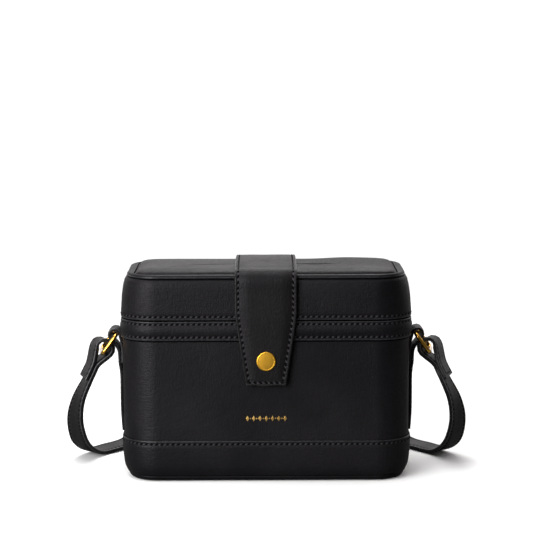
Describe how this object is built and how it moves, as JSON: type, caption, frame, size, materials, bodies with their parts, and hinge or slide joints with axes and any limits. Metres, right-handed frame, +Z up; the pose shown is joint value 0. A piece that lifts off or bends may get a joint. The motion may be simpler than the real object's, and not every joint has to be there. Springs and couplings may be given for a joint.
{
  "type": "box bag",
  "caption": "Stiff box bag of black leather with a lid, a snap closure strap, side tabs with brass rings and a shoulder strap lying behind it.",
  "frame": {"origin": "centre of the bag's base, on the surface it stands on", "axes": "+X to the bag's right as seen from the front, +Y from the front to the back, +Z up"},
  "size_m": [0.3184, 0.3534, 0.1644],
  "materials": {
    "case_leather": "fine-grained smooth black leather, semi-matt",
    "strap_leather": "fine-grained smooth black leather, semi-matt",
    "edge_paint": "black painted and buffed leather edge",
    "lining": "plain dark woven inside",
    "thread": "waxed black sewing thread",
    "brass": "satin brass",
    "gold_foil": "gold foil stamped into the leather"
  },
  "bodies": {
    "root": {"base_panel": "case_leather", "body_wall": "case_leather", "boot_band": "case_leather", "collar_band": "case_leather", "lid_wall": "case_leather", "lid_top": "case_leather", "hinge_strip": "case_leather", "closure_strap": "strap_leather", "snap_cap": "brass", "snap_stud": "brass", "side_tab_left": "strap_leather", "side_tab_right": "strap_leather", "ring_left": "brass", "ring_right": "brass", "shoulder_strap": "strap_leather"}
  },
  "joints": []
}
